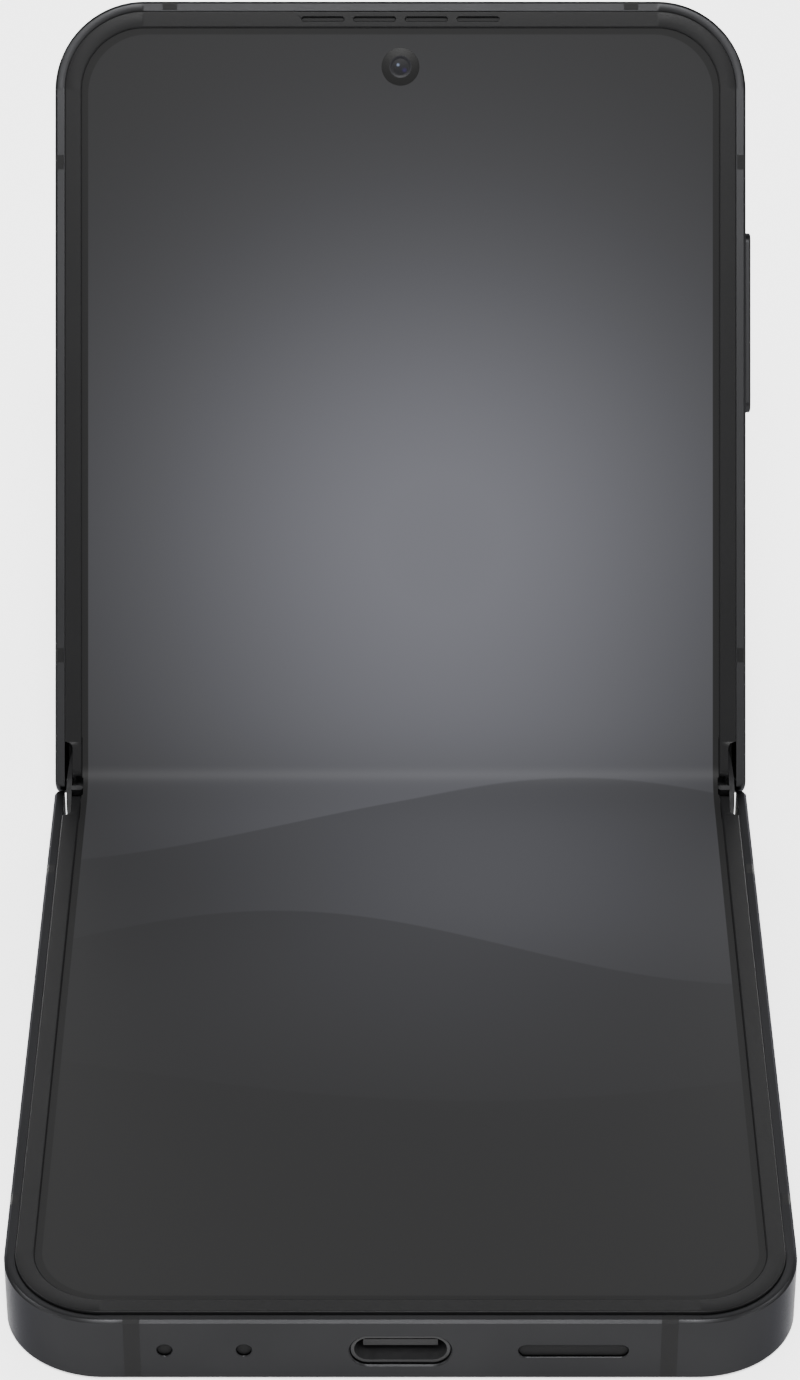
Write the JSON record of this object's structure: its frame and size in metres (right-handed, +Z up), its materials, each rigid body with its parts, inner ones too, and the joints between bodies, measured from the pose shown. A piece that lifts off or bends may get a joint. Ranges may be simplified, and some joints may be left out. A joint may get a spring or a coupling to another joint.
{
  "type": "foldable smartphone",
  "caption": "Clamshell folding phone: two flat halves on a geared two-axis hinge, with a display that bends across it, side keys, a card tray and a charging port.",
  "frame": {"origin": "middle of the lower half's flat back, on the surface it rests on", "axes": "+Y from the lower half's free edge towards the hinge and beyond it, +X to the right as seen by the user, +Z up"},
  "size_m": [0.0727, 0.1323, 0.0755],
  "materials": {
    "frame_metal": "satin anodised, dark grey",
    "antenna_plastic": "matte",
    "back_glass": "etched glass, dark grey",
    "bezel_plastic": "fine matte",
    "display_glass": "dark polished film over the panel",
    "battery_foil": "foil wrap",
    "circuit_board": "solder mask",
    "shield_metal": "tinned",
    "module_plastic": "moulded",
    "steel": "satin",
    "gear_metal": "sintered",
    "copper_coil": "enamelled copper",
    "cover_glass": "black panel",
    "lens_glass": "coated lens",
    "flash_lens": "pale diffuser",
    "cap_plastic": "moulded, dark grey"
  },
  "bodies": {
    "lower_half": {"lower_frame": "frame_metal", "lower_antenna_breaks": "antenna_plastic", "lower_back_glass": "back_glass", "lower_bezel": "bezel_plastic", "display_lower": "display_glass", "lower_battery": "battery_foil", "sub_board": "circuit_board", "usb_c_connector": "shield_metal", "bottom_speaker": "module_plastic", "speaker_mesh": "steel", "bottom_microphones": "gear_metal", "vibration_motor": "shield_metal", "charging_coil": "copper_coil", "lower_support_plate": "steel", "lower_hinge_arms": "steel", "lower_hinge_screws": "steel"},
    "hinge_spine": {"spine_cover": "frame_metal", "hinge_brackets": "steel", "gear_pins": "steel", "friction_rods": "steel", "friction_springs": "steel", "left_end_cap": "cap_plastic", "right_end_cap": "cap_plastic", "display_bend": "display_glass"},
    "upper_half": {"upper_frame": "frame_metal", "upper_antenna_breaks": "antenna_plastic", "upper_back_glass": "back_glass", "upper_bezel": "bezel_plastic", "display_upper": "display_glass", "cover_display": "cover_glass", "camera_rings": "frame_metal", "camera_lenses": "lens_glass", "camera_modules": "module_plastic", "flash_window": "flash_lens", "main_board": "circuit_board", "shield_cans": "shield_metal", "upper_battery": "battery_foil", "front_camera": "module_plastic", "front_camera_window": "lens_glass", "earpiece_speaker": "module_plastic", "sim_reader": "shield_metal", "side_key_switches": "gear_metal", "upper_support_plate": "steel", "upper_hinge_arms": "steel", "upper_hinge_screws": "steel"},
    "sync_gear_1": {"sync_gear_1": "gear_metal"},
    "sync_gear_2": {"sync_gear_2": "gear_metal"},
    "sync_gear_3": {"sync_gear_3": "gear_metal"},
    "sync_gear_4": {"sync_gear_4": "gear_metal"},
    "sim_tray": {"sim_tray": "frame_metal"},
    "volume_key": {"volume_key": "frame_metal"},
    "power_key": {"power_key": "frame_metal"}
  },
  "joints": [
    {"name": "lower_fold", "type": "hinge", "parent": "lower_half", "child": "hinge_spine", "pos_m": [0, 0.03918, 0.00535], "axis": [1, 0, 0], "range_deg": [-28.5, 61.5], "deforming": ["display_bend"]},
    {"name": "upper_fold", "type": "hinge", "parent": "hinge_spine", "child": "upper_half", "pos_m": [0, 0.04287, 0.00735], "axis": [1, 0, 0], "range_deg": [-28.5, 61.5]},
    {"name": "sync_gear_1_spin", "type": "hinge", "parent": "hinge_spine", "child": "sync_gear_1", "pos_m": [0, 0.04001, 0.00255], "axis": [1, 0, 0], "range_deg": [-64.22, 138.47]},
    {"name": "sync_gear_2_spin", "type": "hinge", "parent": "hinge_spine", "child": "sync_gear_2", "pos_m": [0, 0.0416, 0.00341], "axis": [1, 0, 0], "range_deg": [-138.47, 64.22]},
    {"name": "sync_gear_3_spin", "type": "hinge", "parent": "hinge_spine", "child": "sync_gear_3", "pos_m": [0, 0.04318, 0.00427], "axis": [1, 0, 0], "range_deg": [-64.22, 138.47]},
    {"name": "sync_gear_4_spin", "type": "hinge", "parent": "hinge_spine", "child": "sync_gear_4", "pos_m": [0, 0.04476, 0.00512], "axis": [1, 0, 0], "range_deg": [-138.47, 64.22]},
    {"name": "volume_key_press", "type": "slide", "parent": "upper_half", "child": "volume_key", "axis": [-1, 0, 0], "range_m": [0, 0.00025], "stiffness_N_per_m": 4000, "springref_m": -0.0001},
    {"name": "power_key_press", "type": "slide", "parent": "upper_half", "child": "power_key", "axis": [-1, 0, 0], "range_m": [0, 0.00025], "stiffness_N_per_m": 4000, "springref_m": -0.0001},
    {"name": "sim_tray_slide", "type": "slide", "parent": "upper_half", "child": "sim_tray", "axis": [-1, 0, 0], "range_m": [0, 0.012]}
  ],
  "couplings": [
    {"joint": "upper_fold", "follows": "lower_fold", "ratio": 1},
    {"joint": "sync_gear_1_spin", "follows": "lower_fold", "ratio": 2.25},
    {"joint": "sync_gear_2_spin", "follows": "lower_fold", "ratio": -2.25},
    {"joint": "sync_gear_3_spin", "follows": "lower_fold", "ratio": 2.25},
    {"joint": "sync_gear_4_spin", "follows": "lower_fold", "ratio": -2.25}
  ]
}
